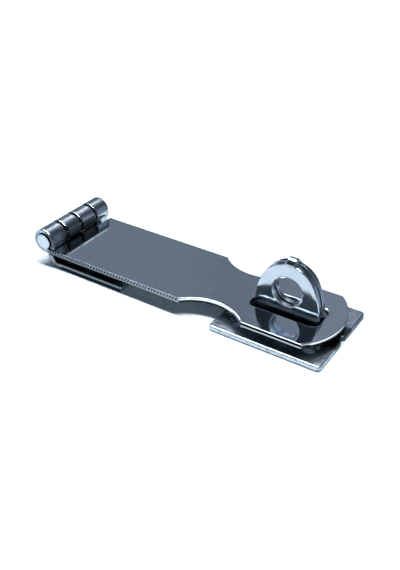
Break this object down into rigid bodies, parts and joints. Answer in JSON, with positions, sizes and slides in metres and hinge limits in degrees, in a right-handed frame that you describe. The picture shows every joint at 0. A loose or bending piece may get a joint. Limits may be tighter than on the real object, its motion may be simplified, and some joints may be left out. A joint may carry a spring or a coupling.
{
  "type": "hinged hasp",
  "caption": "Hinged hasp and staple in bright plated sheet steel: a waisted, slotted strap on a rolled-knuckle hinge leaf closes over a folded staple with a padlock eye.",
  "frame": {"origin": "middle of the closed hasp's bounding box, on the mounting face under the leaf and the staple", "axes": "+X from the hinge towards the strap's tip, +Y along the hinge pin, +Z out of the mounting face"},
  "size_m": [0.1574, 0.0488, 0.0341],
  "materials": {
    "polished_steel": "bright nickel plate over pressed sheet steel, nearly a mirror, with fine polishing lines",
    "bright_pin": "bright peened end, a little softer than the plated sheet"
  },
  "bodies": {
    "mounted": {"hinge_leaf": "polished_steel", "hinge_pin": "bright_pin", "staple_plate": "polished_steel"},
    "strap": {"hasp_strap": "polished_steel"}
  },
  "joints": [
    {"name": "strap_hinge", "type": "hinge", "parent": "mounted", "child": "strap", "pos_m": [-0.07247, 0, 0.01245], "axis": [0, -1, 0], "range_deg": [0, 180]}
  ]
}
